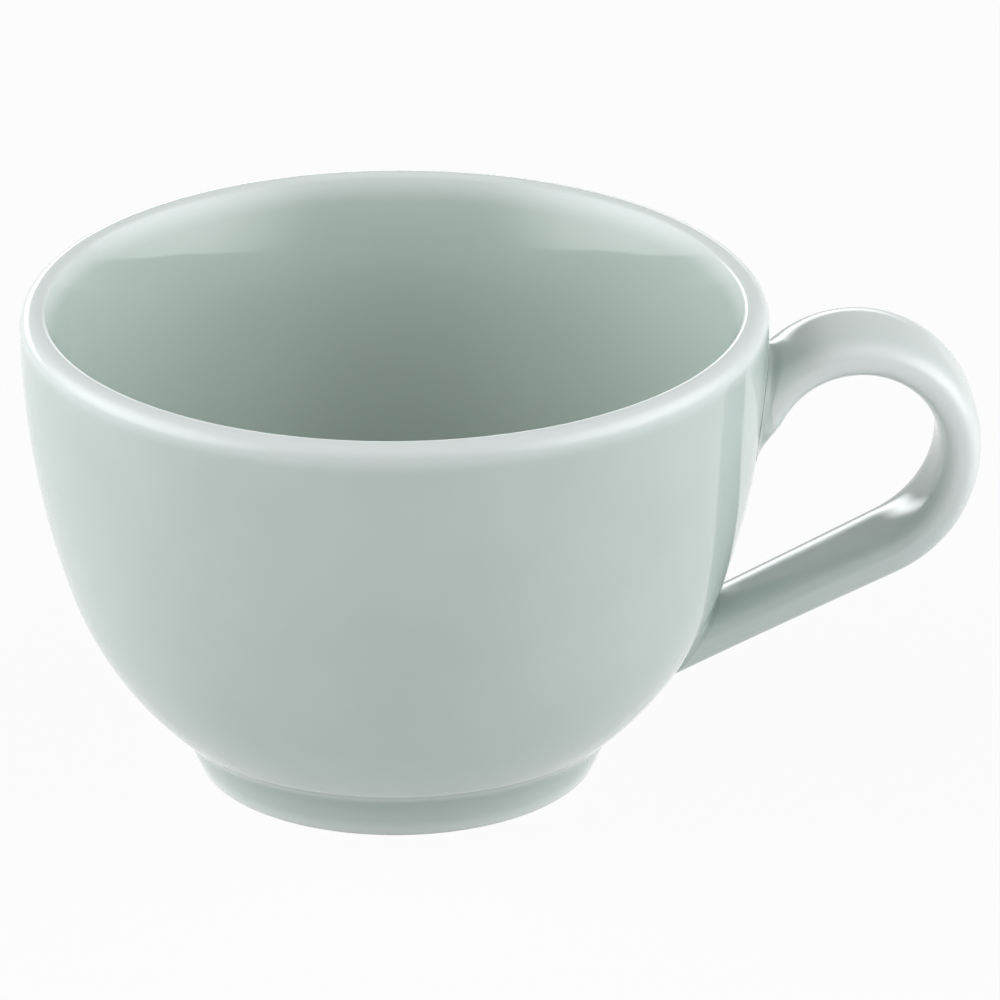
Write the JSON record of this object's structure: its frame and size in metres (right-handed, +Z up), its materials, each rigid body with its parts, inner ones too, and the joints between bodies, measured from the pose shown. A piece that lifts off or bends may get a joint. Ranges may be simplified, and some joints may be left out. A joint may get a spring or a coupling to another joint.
{
  "type": "cappuccino cup",
  "caption": "Low round cup with a full belly, a rounded lip, a turned foot ring and a looped strap handle luted to one side.",
  "frame": {"origin": "on the bowl's axis, in the plane that the foot ring stands on", "axes": "+Z up along the bowl's axis, +X towards the handle, +Y to the left of someone facing along +X"},
  "size_m": [0.1285, 0.1, 0.066],
  "materials": {
    "bowl": "high-gloss pale grey-green glaze, paler where it thins over the lip",
    "foot_ring": "the same gloss glaze, with a bare matt resting face",
    "handle": "the same gloss glaze, paler along the edges of the strap",
    "slip_joints": "the same gloss glaze, slightly deeper where it pools in the hollow"
  },
  "bodies": {
    "root": {"bowl": "bowl", "foot_ring": "foot_ring", "handle": "handle", "upper_slip_joint": "slip_joints", "lower_slip_joint": "slip_joints"}
  },
  "joints": []
}
